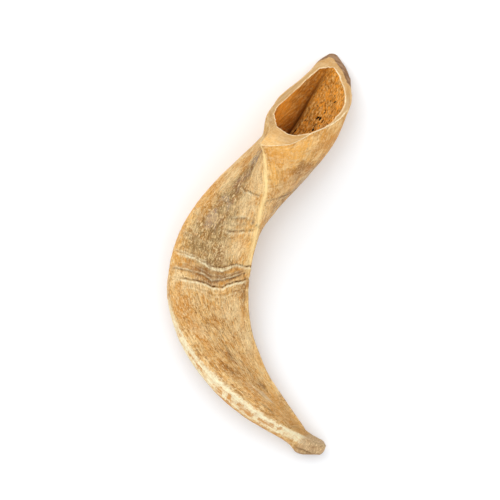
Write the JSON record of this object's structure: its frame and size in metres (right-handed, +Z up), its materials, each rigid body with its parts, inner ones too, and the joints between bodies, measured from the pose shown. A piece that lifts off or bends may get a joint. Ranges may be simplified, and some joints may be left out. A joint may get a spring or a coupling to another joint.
{
  "type": "sheep horn",
  "caption": "Curved, twisted sheep horn, hollow at its slanted base and tapering to a blunt tip, lying on its side.",
  "frame": {"origin": "middle of the object's box in X and Y, on the surface that the horn rests on", "axes": "+Z up, +Y from the tip to the hollow base along the horn's longest extent, +X to the right as seen from above"},
  "size_m": [0.0836, 0.182, 0.0318],
  "materials": {
    "horn": "dry, half-matt horn keratin with tan, cream and grey-brown streaks"
  },
  "bodies": {
    "root": {"horn": "horn"}
  },
  "joints": []
}
